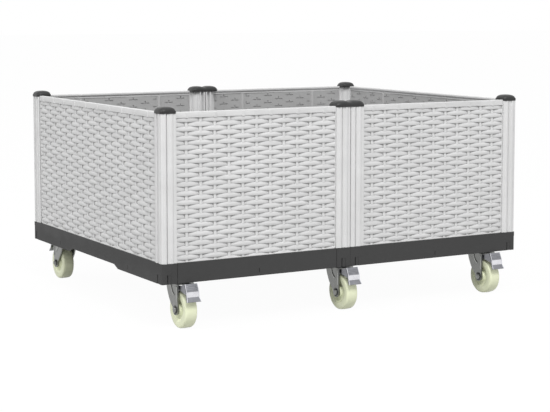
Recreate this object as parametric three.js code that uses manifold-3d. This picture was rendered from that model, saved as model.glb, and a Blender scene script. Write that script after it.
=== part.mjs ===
// Rolling planter: two moulded base trays side by side, woven-look panels held by
// corner posts, and six swivel castors with brake pedals.
// Millimetres, +Z up, -Y is the front. The origin lies on the floor under the centre.
import * as THREE from 'three';
import { mergeVertices } from 'three/addons/utils/BufferGeometryUtils.js';
import loadManifold from 'manifold-3d';

const wasm = await loadManifold();
wasm.setup();

// ---- driving dimensions ----------------------------------------------------------
const moduleWidth = 400;        // one tray and its panels, along X
const moduleDepth = 635;        // the same, along Y
const fitGap = 0.3;             // clearance where two pieces touch
const skirtBottom = 87.2;       // lower edge of the tray's skirt
const trayTop = 124.3;          // upper edge of the tray's skirt
const rimTop = 396;             // top of the panels
const wallThickness = 3;        // moulded walls of the tray

const postSize = 31;            // plan of a post, along each face
const postBody = 25;            // its raised outer face
const flangeStep = 2;           // how far the slot's outer lip lies behind that face
const slotNear = 4;             // panel slot, measured from the outer face
const slotFar = 11;
const slotFloor = 23;           // how deep the slot runs into the post
const grooveNear = 10.6;        // broad groove down each outer face
const grooveFar = 18.4;
const grooveDepth = 2;
const coreNear = 4.5;           // hollow core of a post
const coreFar = 20.5;
const cornerRadius = 3;         // outer corner of a post
const trayCorner = 2.5;         // outer corner of a tray
const postBulge = 26;           // rounded inner corner of a post
const bulgeRadius = 10;
const capBottom = 394;
const capEdge = 4.5;            // upright edge of a cap
const capRise = 7.5;            // dome above that edge
const pegHeight = 14;           // cross-shaped pegs of the trays and the caps

const panelFace = 4.3;          // outer plane of a panel, behind the post's face
const panelBack = 10.7;         // inner plane
const rimHeight = 9.6;          // plain band along the top
const lipReach = 13.9;          // how far the top lip reaches inwards

const wheelDiameter = 70;
const wheelWidth = 25;
const wheelSides = 20;
const endInset = 55;            // swivel axis from the planter's left or right end
const faceInset = 43.6;         // swivel axis behind the front or back face
const trail = 18.4;             // axle behind the swivel axis
const forkGap = 29;             // clear width between the fork's legs
const sheet = 2.5;              // pressed steel of the fork
const crownTop = 84;
const plateBottom = 95.5;
const plateThickness = 3;
const padSide = 32;             // half-length of the pads that the castor plates are screwed to
const padReach = faceInset + 34;
const notchTop = 104;           // the post's groove goes on down the lower half of the skirt

// ---- worked out from them --------------------------------------------------------
const halfWidth = (moduleWidth - fitGap) / 2;
const halfDepth = moduleDepth / 2;
const wheelRadius = wheelDiameter / 2;
const axleHeight = wheelRadius * Math.cos(Math.PI / wheelSides);
const plateTop = plateBottom + plateThickness;
const padBottom = plateTop + fitGap;
const channelFloor = trayTop - 6;
const floorTop = 111.3;
const floorBottom = floorTop - wallThickness;
const cornerPad = postSize + 2.2;
const quarter = Math.PI / 2;

// ---- colours and finishes --------------------------------------------------------
function finish(color, roughness, metalness) {
  return new THREE.MeshStandardMaterial({ color, roughness, metalness });
}
const greyPolypropylene = finish('#d9d9d9', 0.55, 0);
const blackPolypropylene = finish('#3a3a3a', 0.6, 0);
const zincPlate = finish('#85868a', 0.4, 0.9);
const creamNylon = finish('#e6ecc4', 0.45, 0);

// ---- helpers ---------------------------------------------------------------------
function solid(geometry) {
  const bare = geometry.clone();
  bare.deleteAttribute('normal');
  bare.deleteAttribute('uv');
  const welded = mergeVertices(bare, 1e-4);
  const mesh = new wasm.Mesh({
    numProp: 3,
    vertProperties: new Float32Array(welded.attributes.position.array),
    triVerts: new Uint32Array(welded.index.array),
  });
  return new wasm.Manifold(mesh);
}

function shell(body) {
  const mesh = body.getMesh();
  const geometry = new THREE.BufferGeometry();
  geometry.setAttribute('position', new THREE.BufferAttribute(mesh.vertProperties, 3));
  geometry.setIndex(new THREE.BufferAttribute(mesh.triVerts, 1));
  return geometry;
}

function join(...pieces) {
  return shell(pieces.map(solid).reduce((sum, piece) => sum.add(piece)));
}

function cut(piece, ...tools) {
  return shell(tools.map(solid).reduce((rest, tool) => rest.subtract(tool), solid(piece)));
}

function outline(points) {
  return new THREE.Shape(points.map(([x, y]) => new THREE.Vector2(x, y)));
}

function rectangle(width, depth) {
  const x = width / 2;
  const y = depth / 2;
  return outline([[x, -y], [x, y], [-x, y], [-x, -y]]);
}

function roundedRectangle(width, depth, radius) {
  const x = width / 2;
  const y = depth / 2;
  const shape = new THREE.Shape();
  shape.moveTo(x, -y + radius);
  shape.absarc(x - radius, y - radius, radius, 0, quarter);
  shape.absarc(-x + radius, y - radius, radius, quarter, 2 * quarter);
  shape.absarc(-x + radius, -y + radius, radius, 2 * quarter, 3 * quarter);
  shape.absarc(x - radius, -y + radius, radius, 3 * quarter, 4 * quarter);
  return shape;
}

// rounded at the module's free end, square where it meets the other module
function trayOutline(width, depth, radius) {
  const x = width / 2;
  const y = depth / 2;
  const shape = new THREE.Shape();
  shape.moveTo(x, -y);
  shape.lineTo(x, y);
  shape.absarc(-x + radius, y - radius, radius, quarter, 2 * quarter);
  shape.absarc(-x + radius, -y + radius, radius, 2 * quarter, 3 * quarter);
  return shape;
}

// a plan outline raised from one height to another
function upright(shape, low, high, curveSegments = 1) {
  const geometry = new THREE.ExtrudeGeometry(shape, {
    depth: high - low,
    bevelEnabled: false,
    curveSegments,
  });
  return geometry.translate(0, 0, low);
}

// a side outline, drawn in Y and Z, stretched along X
const sideways = new THREE.Matrix4().makeBasis(
  new THREE.Vector3(0, 1, 0),
  new THREE.Vector3(0, 0, 1),
  new THREE.Vector3(1, 0, 0),
);
function across(shape, from, to, curveSegments = 3) {
  const geometry = new THREE.ExtrudeGeometry(shape, {
    depth: to - from,
    bevelEnabled: false,
    curveSegments,
  });
  return geometry.translate(0, 0, from).applyMatrix4(sideways);
}

function block([x0, x1], [y0, y1], [z0, z1]) {
  const geometry = new THREE.BoxGeometry(Math.abs(x1 - x0), Math.abs(y1 - y0), z1 - z0);
  return geometry.translate((x0 + x1) / 2, (y0 + y1) / 2, (z0 + z1) / 2);
}

function post(radius, low, high, sides, x = 0, y = 0) {
  const geometry = new THREE.CylinderGeometry(radius, radius, high - low, sides);
  return geometry.rotateX(quarter).translate(x, y, (low + high) / 2);
}

function pin(radius, from, to, sides, y = 0, z = 0) {
  const geometry = new THREE.CylinderGeometry(radius, radius, to - from, sides);
  return geometry.rotateZ(quarter).translate((from + to) / 2, y, z);
}

// a bent strip of sheet: the line that its outer skin follows, and its thickness
function bentStrip(points, thickness) {
  const line = points.map(([y, z]) => new THREE.Vector2(y, z));
  const inner = line.map((point, i) => {
    const before = line[Math.max(i - 1, 0)];
    const after = line[Math.min(i + 1, line.length - 1)];
    const along = after.clone().sub(before).normalize();
    return new THREE.Vector2(point.x - along.y * thickness, point.y + along.x * thickness);
  });
  return new THREE.Shape([...line, ...inner.reverse()]);
}

// the four corners of a module: sign of x, sign of y, and the turn of what stands there
const corners = [
  [-1, -1, 0],
  [1, -1, quarter],
  [1, 1, 2 * quarter],
  [-1, 1, 3 * quarter],
];

function atCorners(build) {
  return corners.map(([sx, sy, turn]) =>
    build().rotateZ(turn).translate(sx * halfWidth, sy * halfDepth, 0));
}

// cross-shaped peg on the axis of a post's core
function crossPeg(low, high) {
  const middle = (coreNear + coreFar) / 2;
  const reach = (coreFar - coreNear) / 2 - fitGap;
  const arm = 1.5;
  const plus = outline([
    [reach, -arm], [reach, arm], [arm, arm], [arm, reach], [-arm, reach], [-arm, arm],
    [-reach, arm], [-reach, -arm], [-arm, -arm], [-arm, -reach], [arm, -reach], [arm, -arm],
  ]);
  return upright(plus, low, high).translate(middle, middle, 0);
}

// ---- base tray -------------------------------------------------------------------
function trayRing(outer, inner, low, high) {
  const width = 2 * halfWidth;
  const depth = moduleDepth;
  const shape = outer < 1
    ? trayOutline(width - 2 * outer, depth - 2 * outer, trayCorner - outer)
    : rectangle(width - 2 * outer, depth - 2 * outer);
  shape.holes.push(rectangle(width - 2 * inner, depth - 2 * inner));
  return upright(shape, low, high);
}

function castorPads() {
  const height = [padBottom, floorBottom + 1];
  const left = -halfWidth + endInset;
  return [-1, 1].flatMap((end) => {
    const y = [end * (halfDepth - wallThickness + 0.5), end * (halfDepth - padReach)];
    return [
      block([left - padSide, left + padSide], y, height),
      block([halfWidth - padSide, halfWidth - 1], y, height),
    ];
  });
}

function trayRibs() {
  const ribHalf = 1.25;
  const height = [padBottom, floorBottom + 1];
  const ribs = [-67, 67].map((x) =>
    block([x - ribHalf, x + ribHalf], [-halfDepth + 2, halfDepth - 2], height));
  for (const y of [-150, 0, 150]) {
    ribs.push(block([-halfWidth + 2, halfWidth - 2], [y - ribHalf, y + ribHalf], height));
  }
  return ribs;
}

// the skirts that meet at the seam are open above the middle castors, which straddle it
function seamWindows() {
  return [-1, 1].map((end) => {
    const y = [end * (halfDepth - wallThickness - 0.5), end * (halfDepth - padReach)];
    return block([halfWidth - wallThickness - 1, halfWidth + 1], y, [skirtBottom - 1, padBottom]);
  });
}

// grooves that carry the posts' ones on down the skirt, short slits, and fine seam lines
function skirtCuts() {
  const low = skirtBottom - 1;
  const notch = [low, notchTop];
  const slit = [skirtBottom + 6, skirtBottom + 14];
  const full = [low, trayTop + 1];
  const slitHalf = 0.7;
  const lineHalf = 0.6;
  const lineDepth = 1;
  const groove = grooveDepth - 0.5;
  const farWall = [-halfWidth - 1, -halfWidth + wallThickness + 0.5];
  const alongEnd = (end, depth) => [end * (halfDepth + 1), end * (halfDepth - depth)];
  const cuts = [-1, 1].flatMap((end) => {
    const through = alongEnd(end, wallThickness + 0.5);
    const sideSlit = end * 0.265 * moduleDepth;
    return [
      block([-slitHalf, slitHalf], through, slit),
      block(farWall, [sideSlit - slitHalf, sideSlit + slitHalf], slit),
      block([halfWidth - grooveFar, halfWidth - grooveNear], alongEnd(end, groove), notch),
      block([-halfWidth + grooveNear, -halfWidth + grooveFar], alongEnd(end, groove), notch),
      block([-halfWidth - 1, -halfWidth + groove],
        [end * (halfDepth - grooveNear), end * (halfDepth - grooveFar)], notch),
    ];
  });
  for (const x of [-halfWidth + postSize, halfWidth - postSize]) {
    cuts.push(block([x - lineHalf, x + lineHalf], alongEnd(-1, lineDepth), full));
  }
  return cuts;
}

function baseTray() {
  const width = 2 * halfWidth;
  const innerWall = slotFar + fitGap;
  const innerBack = innerWall + 2.5;
  const floor = rectangle(width - 2 * innerWall - 1, moduleDepth - 2 * innerWall - 1);
  const padShape = () => block([0.4, cornerPad], [0.4, cornerPad], [channelFloor - 2, trayTop]);
  const whole = join(
    trayRing(0, wallThickness, skirtBottom, trayTop),
    trayRing(0.5, slotNear, channelFloor - 1, trayTop),
    trayRing(wallThickness - 0.5, innerBack, channelFloor - wallThickness, channelFloor),
    trayRing(innerWall, innerBack, floorBottom, trayTop),
    upright(floor, floorBottom, floorTop),
    ...atCorners(padShape),
    ...atCorners(() => crossPeg(trayTop - 1, trayTop + pegHeight)),
    ...castorPads(),
    ...trayRibs(),
  );
  const archLow = 0.193 * moduleDepth;
  const archHigh = moduleDepth / 6;
  const archRise = 7;
  const arch = outline([
    [-archLow - 1, skirtBottom - 1], [archLow + 1, skirtBottom - 1], [archLow, skirtBottom],
    [archHigh, skirtBottom + archRise], [-archHigh, skirtBottom + archRise], [-archLow, skirtBottom],
  ]);
  const archTool = across(arch, -halfWidth - 1, halfWidth + 1);
  return cut(whole, archTool, ...skirtCuts(), ...seamWindows());
}

// ---- corner post -----------------------------------------------------------------
// plan: the outer corner at the origin, panels leaving along +X and along +Y
function postPlan() {
  const lip = slotFar + 2.5;
  const face = [
    [cornerRadius, 0], [grooveNear, 0], [grooveNear, grooveDepth], [grooveFar, grooveDepth], [grooveFar, 0],
    [postBody, 0], [postBody, flangeStep], [postSize, flangeStep], [postSize, slotNear],
    [slotFloor, slotNear], [slotFloor, slotFar], [postSize, slotFar], [postSize, lip],
    [postBulge, lip], [postBulge, postBulge - bulgeRadius],
  ];
  const shape = new THREE.Shape();
  shape.moveTo(...face[0]);
  for (const [x, y] of face.slice(1)) {
    shape.lineTo(x, y);
  }
  const bulge = postBulge - bulgeRadius;
  shape.absarc(bulge, bulge, bulgeRadius, 0, quarter);
  for (const [x, y] of face.slice(0, -1).reverse()) {
    shape.lineTo(y, x);
  }
  shape.absarc(cornerRadius, cornerRadius, cornerRadius, 2 * quarter, 3 * quarter);
  const size = coreFar - coreNear;
  const middle = (coreFar + coreNear) / 2;
  const core = rectangle(size, size).getPoints().map((point) => point.addScalar(middle));
  shape.holes.push(new THREE.Path(core));
  return shape;
}

function cornerPost() {
  return upright(postPlan(), trayTop + fitGap, capBottom - fitGap);
}

// ---- caps ------------------------------------------------------------------------
// a turned dome whose round plan is pushed out to a soft square
function softSquareDome() {
  const dome = [[1, 1], [0.92, 1.46], [0.72, 1.8], [0, 2]];
  const profile = [[0, 0], [1, 0], ...dome].map(([r, level]) => new THREE.Vector2(r, level));
  const half = postSize / 2;
  const cap = new THREE.LatheGeometry(profile, 16).rotateX(quarter);
  const place = cap.attributes.position;
  const squareness = 5;
  for (let i = 0; i < place.count; i += 1) {
    const x = place.getX(i);
    const y = place.getY(i);
    const level = place.getZ(i);
    const angle = Math.atan2(y, x);
    const spread = Math.abs(Math.cos(angle)) ** squareness + Math.abs(Math.sin(angle)) ** squareness;
    const push = half / spread ** (1 / squareness);
    const height = level <= 1 ? level * capEdge : capEdge + (level - 1) * capRise;
    place.setXYZ(i, x * push, y * push, capBottom + height);
  }
  return cap.translate(half, half, 0);
}

function singleCap() {
  return join(softSquareDome(), crossPeg(capBottom - pegHeight, capBottom + 1));
}

// two lobes with a dip between them, over the two posts that meet at the seam
function doubleCap() {
  const lobe = () => join(softSquareDome(), crossPeg(capBottom - pegHeight, capBottom + 1));
  const bridge = block([-6, 6], [3, postSize - 3], [capBottom, capBottom + capEdge + 2.5]);
  const right = lobe().translate(fitGap / 2, 0, 0);
  const left = lobe().rotateZ(quarter).translate(-fitGap / 2, 0, 0);
  return join(right, left, bridge);
}

// ---- woven-look panel ------------------------------------------------------------
// the panel runs along X about its middle; its outer face looks along -Y
function panel(length) {
  const half = length / 2;
  const clear = half - postSize - fitGap;
  const bandBottom = rimTop - rimHeight;
  const slab = block([-clear, clear], [panelFace, panelBack], [trayTop + fitGap, bandBottom + 1]);
  const rimProfile = outline([
    [panelFace, bandBottom], [panelBack, bandBottom], [panelBack, rimTop - 6.5], [lipReach, rimTop - 4],
    [lipReach, rimTop - 1.2], [lipReach - 1.2, rimTop], [panelFace + 1.4, rimTop], [panelFace, rimTop - 1.4],
  ]);
  const rim = across(rimProfile, -clear, clear);
  const ends = half - slotFloor - fitGap;
  const tongue = block([-ends, ends], [panelFace + 0.6, panelBack - fitGap],
    [trayTop + fitGap, capBottom - 2 * fitGap]);
  const foot = half - cornerPad - fitGap;
  const sill = block([-foot, foot], [panelFace, panelBack], [channelFloor + fitGap, trayTop + 1]);
  const ribs = [-0.235, 0.235].map((share) => {
    const x = share * length;
    return block([x - 3, x + 3], [panelBack - 0.5, panelBack + 1.3], [trayTop + 1, bandBottom + 1]);
  });
  return join(slab, rim, tongue, sill, ...ribs);
}

// ---- castor: swivel axis at the origin, wheel trailing towards -Y -----------------
function mountingPlate() {
  const plate = upright(roundedRectangle(60, 58, 4), plateBottom, plateTop);
  const race = post(23, crownTop + fitGap, plateBottom + 1, 14);
  return cut(join(plate, race), post(6.4, crownTop - 1, plateTop + 1, 8));
}

function kingPin() {
  const head = 9;
  const shank = 6;
  const headTop = crownTop - sheet - fitGap;
  const points = [[0, headTop - 4.5], [head - 1, headTop - 4.5], [head, headTop], [shank, headTop],
    [shank, plateTop - fitGap], [0, plateTop - fitGap]];
  return new THREE.LatheGeometry(points.map(([r, z]) => new THREE.Vector2(r, z)), 8).rotateX(quarter);
}

const rearTop = 19;
function legOutline() {
  const front = -trail - 10;
  const leg = new THREE.Shape();
  leg.moveTo(front, crownTop);
  leg.lineTo(front, axleHeight);
  leg.absarc(-trail, axleHeight, 10, 2 * quarter, 4 * quarter + 0.45);
  leg.quadraticCurveTo(13.5, 49, rearTop, crownTop);
  return leg;
}

const pedalPivot = { y: -23, z: 76.5 };
const dish = 1.5;               // how far the legs are pressed inwards round the axle

// a short drum round the axle, between two planes on one side of the wheel
function onAxle(radius, from, to) {
  return pin(radius, Math.min(from, to), Math.max(from, to), 8, -trail, axleHeight);
}

function swivelFork() {
  const inside = forkGap / 2;
  const outside = inside + sheet;
  const legs = [across(legOutline(), -outside, -inside), across(legOutline(), inside, outside)];
  const crown = upright(new THREE.Shape().absarc(0, 0, 24, 0, 4 * quarter), crownTop - sheet, crownTop, 7);
  const bridge = block([-outside, outside], [-trail - 10, rearTop], [crownTop - sheet, crownTop]);
  const brakePin = pin(2.5, -inside - 1, inside + 1, 8, pedalPivot.y, pedalPivot.z);
  const bosses = [-1, 1].map((side) => onAxle(9.5, side * (inside - dish), side * (inside + 1)));
  const whole = join(...legs, crown, bridge, brakePin, ...bosses);
  const dishes = [-1, 1].map((side) => onAxle(8, side * (outside - dish), side * (outside + 1)));
  return cut(
    whole,
    post(6.6, crownTop - sheet - 1, crownTop + 1, 8),
    ...dishes,
    pin(4.4, -outside - 1, outside + 1, 8, -trail, axleHeight),
  );
}

function axleBolt() {
  const seat = forkGap / 2 + sheet - dish + fitGap;
  const headHeight = 4;
  return join(
    pin(4, -seat - 1, seat + 6.5, 8),
    pin(7, -seat - headHeight, -seat, 6),
    pin(7, seat, seat + headHeight, 6),
  );
}

// solid nylon wheel: tread with rounded edges, a dished web and a hub, turned in one
function wheel() {
  const hubFace = wheelWidth / 2;
  const web = 7.5;
  const ring = hubFace - 0.7;
  const side = [[4.4, hubFace], [10, web], [17.5, web], [20.5, ring], [30, ring], [wheelRadius, 6.5]];
  const points = [...side.map(([r, x]) => [r, -x]), ...side.reverse(), [side.at(-1)[0], -hubFace]];
  const turned = new THREE.LatheGeometry(points.map(([r, x]) => new THREE.Vector2(r, x)), wheelSides);
  return turned.rotateZ(-quarter).rotateX(Math.PI / wheelSides);
}

function brakePedal() {
  const gauge = 2;
  const cheekOut = 13;
  const lipHalf = 14.5;
  const knee = [[-49.6, 86], [-56.2, 73.5], [-57.2, 65]];
  const upper = across(bentStrip(knee, gauge), -cheekOut, cheekOut);
  const lip = across(bentStrip([[-57, 66], [-57.5, 63.5], [-62.4, 55]], gauge), -lipHalf, lipHalf);
  const cheek = outline([
    [-48.8, 85.2], [-35, 81.5], [-26, 80], [-21, 80], [-18.6, 78], [-18.6, 75], [-22, 72.4], [-38, 70.4],
    [-50, 68], [-55.6, 67], [-55.2, 74],
  ]);
  const cheeks = [across(cheek, -cheekOut, -cheekOut + gauge), across(cheek, cheekOut - gauge, cheekOut)];
  const shoe = block([-cheekOut + 1, cheekOut - 1], [-37, -33], [72.5, 75]);
  const whole = join(upper, lip, ...cheeks, shoe);
  return cut(whole, pin(2.9, -cheekOut - 1, cheekOut + 1, 8, pedalPivot.y, pedalPivot.z));
}

// ---- assembly --------------------------------------------------------------------
function place(parent, name, geometry, material, x = 0, y = 0, z = 0, turn = 0) {
  const mesh = new THREE.Mesh(geometry, material);
  mesh.name = name;
  mesh.position.set(x, y, z);
  mesh.rotation.z = turn;
  parent.add(mesh);
}

const planter = new THREE.Group();
const tray = baseTray();
const postMoulding = cornerPost();
const shortPanel = panel(2 * halfWidth);
const longPanel = panel(moduleDepth);

// the right module is the left one turned half round, so its front is the other's back
for (const side of ['left', 'right']) {
  const module = new THREE.Group();
  const turned = side === 'right';
  module.position.x = turned ? moduleWidth / 2 : -moduleWidth / 2;
  module.rotation.z = turned ? Math.PI : 0;
  const front = turned ? 'back' : 'front';
  const back = turned ? 'front' : 'back';
  place(module, `${side}_base_tray`, tray, blackPolypropylene);
  place(module, `${front}_${side}_panel`, shortPanel, greyPolypropylene, 0, -halfDepth);
  place(module, `${back}_${side}_panel`, shortPanel, greyPolypropylene, 0, halfDepth, 0, Math.PI);
  place(module, `${side}_side_panel`, longPanel, greyPolypropylene, -halfWidth, 0, 0, -quarter);
  corners.forEach(([sx, sy, turn]) => {
    const row = sy < 0 ? front : back;
    const spot = sx < 0 ? 'corner' : 'middle';
    const at = [sx * halfWidth, sy * halfDepth, 0, turn];
    place(module, `${row}_${side}_${spot}_post`, postMoulding, greyPolypropylene, ...at);
    if (sx < 0) {
      place(module, `${row}_${side}_cap`, singleCap(), blackPolypropylene, ...at);
    }
  });
  planter.add(module);
}
place(planter, 'front_middle_cap', doubleCap(), blackPolypropylene, 0, -halfDepth);
place(planter, 'back_middle_cap', doubleCap(), blackPolypropylene, 0, halfDepth, 0, Math.PI);

for (const row of ['front', 'back']) {
  for (const [spot, x] of [['left', -moduleWidth + endInset], ['middle', 0], ['right', moduleWidth - endInset]]) {
    const castor = new THREE.Group();
    const name = `${row}_${spot}`;
    castor.position.set(x, (row === 'front' ? -1 : 1) * (halfDepth - faceInset), 0);
    castor.rotation.z = row === 'front' ? 0 : Math.PI;
    place(castor, `${name}_castor_plate`, mountingPlate(), zincPlate);
    place(castor, `${name}_king_pin`, kingPin(), zincPlate);
    place(castor, `${name}_fork`, swivelFork(), zincPlate);
    place(castor, `${name}_axle_bolt`, axleBolt(), zincPlate, 0, -trail, axleHeight);
    place(castor, `${name}_wheel`, wheel(), creamNylon, 0, -trail, axleHeight);
    place(castor, `${name}_brake_pedal`, brakePedal(), zincPlate);
    planter.add(castor);
  }
}

export default planter;
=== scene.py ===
# %% [markdown]
# # A rolling planter, dressed in Blender
# The planter is a box of rattan-look plastic panels between capped posts, on two dark trays and
# six castors. The fixed frame is loaded first: its solids say where everything is, and each piece
# below is made at that place, in metres, and rides on the body that carries it.

# %% The frame and its box
import math

import bmesh
import bpy
from mathutils import Matrix, Vector


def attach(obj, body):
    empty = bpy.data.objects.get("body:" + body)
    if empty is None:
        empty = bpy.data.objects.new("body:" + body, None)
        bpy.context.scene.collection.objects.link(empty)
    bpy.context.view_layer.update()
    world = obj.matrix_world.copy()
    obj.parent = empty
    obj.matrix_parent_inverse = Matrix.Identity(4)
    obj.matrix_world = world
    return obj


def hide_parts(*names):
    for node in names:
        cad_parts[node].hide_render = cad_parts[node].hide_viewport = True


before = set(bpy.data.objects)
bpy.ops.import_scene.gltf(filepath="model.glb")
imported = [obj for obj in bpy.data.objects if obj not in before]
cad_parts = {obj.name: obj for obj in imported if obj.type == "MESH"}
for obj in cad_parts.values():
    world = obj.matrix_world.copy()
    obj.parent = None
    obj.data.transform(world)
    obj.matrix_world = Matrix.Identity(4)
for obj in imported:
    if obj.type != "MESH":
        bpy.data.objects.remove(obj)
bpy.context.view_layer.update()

# %% [markdown]
# ## Working in millimetres
# A moulder's drawing is in millimetres, so every mesh is drawn in millimetres about a handy
# point, and one matrix then carries it to its place in metres. The planter is two equal modules.
# The right one is the left one turned half round, so one list of places serves both.

# %% Main sizes and the modules
MM = 0.001
HALF_WIDTH = 199.85          # half a module, across the front
HALF_DEPTH = 317.5           # half a module, front to back
MODULE_MIDDLE = 200          # from the planter's middle to a module's
TRAY_TOP = 124.3
FOOT = TRAY_TOP + 0.3        # posts and panels start just above the tray
POST_SIZE = 31
POST_TOP = 393.7
RIM_TOP = 396
ROW_PITCH = 8.3              # height of one woven row
modules = {
    "left": Matrix.Translation((-MODULE_MIDDLE, 0, 0)),
    "right": Matrix.Translation((MODULE_MIDDLE, 0, 0)) @ Matrix.Rotation(math.pi, 4, "Z"),
}
row_names = {"left": ("front", "back"), "right": ("back", "front")}


def turn(degrees):
    return Matrix.Rotation(math.radians(degrees), 4, "Z")


print("a module is", 2 * HALF_WIDTH, "by", 2 * HALF_DEPTH, "mm")

# %% [markdown]
# ## Materials are node trees
# One small function adds a node, with its settings and its links, so that a material reads from
# top to bottom. Colours are written as the sRGB hex values that a designer would pick, and one
# function turns them into the linear numbers that the shader works with.

# %% Colour and node helpers
def linear(hex_colour):
    parts = [int(hex_colour[i:i + 2], 16) / 255 for i in (1, 3, 5)]
    curve = [p / 12.92 if p <= 0.04045 else ((p + 0.055) / 1.055) ** 2.4 for p in parts]
    return (*curve, 1.0)


def add_node(tree, kind, inputs=None, **settings):
    node = tree.nodes.new(kind)
    for name, value in settings.items():
        setattr(node, name, value)
    for name, value in (inputs or {}).items():
        if isinstance(value, bpy.types.NodeSocket):
            tree.links.new(value, node.inputs[name])
        else:
            node.inputs[name].default_value = value
    return node


def new_material(name, **constants):
    material = bpy.data.materials.new(name)
    material.use_nodes = True
    shader = material.node_tree.nodes["Principled BSDF"]
    for socket, value in constants.items():
        shader.inputs[socket.replace("_", " ")].default_value = value
    return material, material.node_tree, shader


def link_surface(tree, shader, colour, gloss, bump):
    for node, socket in ((colour, "Base Color"), (gloss, "Roughness"), (bump, "Normal")):
        tree.links.new(node.outputs[0], shader.inputs[socket])


print("a middle grey is", round(linear("#808080")[0], 3), "in linear light")

# %% [markdown]
# ## Rattan-look polypropylene
# The panels are injection moulded from light grey polypropylene. The mould copies split cane: fine
# lines run along each strand, and no two strands are quite the same shade. The strands lie along X
# on a front panel and along Y on a side panel, so x + y is the distance along a strand on both.
# Noise stretched along that distance gives the lines, and a white noise on the strand's row and
# place gives each its shade.

# %% Rattan-look polypropylene
CANE_LINES = (40, 1100, 1)   # per metre: lines 25 mm long and 0.9 mm apart, coarse enough to show
STRAND_LENGTH = 58


def rattan_look_polypropylene():
    material, tree, shader = new_material("rattan_look_polypropylene", IOR=1.49)
    place = add_node(tree, "ShaderNodeTexCoord").outputs["Object"]
    axes = add_node(tree, "ShaderNodeSeparateXYZ", {0: place})
    along = add_node(tree, "ShaderNodeMath", {0: axes.outputs["X"], 1: axes.outputs["Y"]})
    strand = add_node(tree, "ShaderNodeCombineXYZ", {"X": along.outputs[0], "Y": axes.outputs["Z"]})
    lines_at = add_node(tree, "ShaderNodeVectorMath", {0: strand.outputs[0], 1: CANE_LINES},
                        operation="MULTIPLY")
    lines = add_node(tree, "ShaderNodeTexNoise",
                     {"Vector": lines_at.outputs[0], "Scale": 1.0, "Detail": 2.0, "Roughness": 0.6})
    rows_at = add_node(tree, "ShaderNodeVectorMath",
                       {0: strand.outputs[0],
                        1: (1 / (STRAND_LENGTH * MM), 1 / (ROW_PITCH * MM), 1)},
                       operation="MULTIPLY")
    rows = add_node(tree, "ShaderNodeVectorMath", {0: rows_at.outputs[0]}, operation="FLOOR")
    shade = add_node(tree, "ShaderNodeTexWhiteNoise", {"Vector": rows.outputs[0]},
                     noise_dimensions="2D")
    quarter = add_node(tree, "ShaderNodeMath", {0: shade.outputs[0], 1: 0.25},
                       operation="MULTIPLY")
    mixed = add_node(tree, "ShaderNodeMath",
                     {0: lines.outputs[0], 1: 0.75, 2: quarter.outputs[0]},
                     operation="MULTIPLY_ADD")
    ramp = add_node(tree, "ShaderNodeValToRGB", {0: mixed.outputs[0]})
    ramp.color_ramp.elements[0].position = 0.25
    ramp.color_ramp.elements[0].color = linear("#CFCFCF")
    ramp.color_ramp.elements[1].position = 0.75
    ramp.color_ramp.elements[1].color = linear("#E0E0E0")
    bump = add_node(tree, "ShaderNodeBump",
                    {"Height": lines.outputs[0], "Strength": 0.35, "Distance": 0.0004})
    gloss = add_node(tree, "ShaderNodeMapRange",
                     {"Value": lines.outputs[0], "To Min": 0.48, "To Max": 0.66})
    link_surface(tree, shader, ramp, gloss, bump)
    return material


woven = rattan_look_polypropylene()
print("made", woven.name)

# %% [markdown]
# ## Plain mouldings: polypropylene and nylon
# Posts are the same light grey plastic without the strands: a satin skin with a faint cloudiness
# where the melt flowed. The thin wall behind the strands gets duller, darker greys as painted shade:
# one for its inner side, inside the box, and a darker one for the gaps between strands and the sunk
# marks. Trays and caps are near black, from a spark-eroded mould whose grain breaks up the gloss. The
# wheels are natural nylon, a waxy cream. All are a base colour with slow cloud noise and a fine grain
# bump, at different real sizes.

# %% Moulded plastics
def moulded_plastic(name, dark, light, cloud, grain, relief, dull, shiny, **constants):
    """cloud and grain are the patterns' sizes in millimetres, the grain coarse enough to show"""
    material, tree, shader = new_material(name, **constants)
    place = add_node(tree, "ShaderNodeTexCoord").outputs["Object"]
    clouds = add_node(tree, "ShaderNodeTexNoise",
                      {"Vector": place, "Scale": 1 / (cloud * MM), "Detail": 3.0})
    grains = add_node(tree, "ShaderNodeTexNoise",
                      {"Vector": place, "Scale": 1 / (grain * MM), "Detail": 1.0})
    both = add_node(tree, "ShaderNodeMath", {0: clouds.outputs[0], 1: grains.outputs[0]})
    level = add_node(tree, "ShaderNodeMapRange",
                     {"Value": both.outputs[0], "From Min": 0.7, "From Max": 1.3})
    ramp = add_node(tree, "ShaderNodeValToRGB", {0: level.outputs[0]})
    ramp.color_ramp.elements[0].color = linear(dark)
    ramp.color_ramp.elements[1].color = linear(light)
    gloss = add_node(tree, "ShaderNodeMapRange",
                     {"Value": clouds.outputs[0], "From Min": 0.3, "From Max": 0.7,
                      "To Min": shiny, "To Max": dull})
    bump = add_node(tree, "ShaderNodeBump",
                    {"Height": grains.outputs[0], "Strength": relief, "Distance": 0.0002})
    link_surface(tree, shader, ramp, gloss, bump)
    return material


satin_grey = moulded_plastic("satin_grey_polypropylene", "#D9D9D9", "#E4E4E4",
                             cloud=40, grain=0.8, relief=0.15, dull=0.62, shiny=0.5, IOR=1.49)
grained_black = moulded_plastic("grained_black_polypropylene", "#353535", "#3F3F3F",
                                cloud=30, grain=0.7, relief=0.4, dull=0.8, shiny=0.66, IOR=1.49)
satin_black = moulded_plastic("satin_black_polypropylene", "#1E1E1E", "#292929",
                              cloud=20, grain=0.6, relief=0.2, dull=0.46, shiny=0.34, IOR=1.49)
cream_nylon = moulded_plastic("natural_cream_nylon", "#EFF4D0", "#F8FCDC",
                              cloud=18, grain=0.6, relief=0.1, dull=0.46, shiny=0.34, IOR=1.53)
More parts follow.
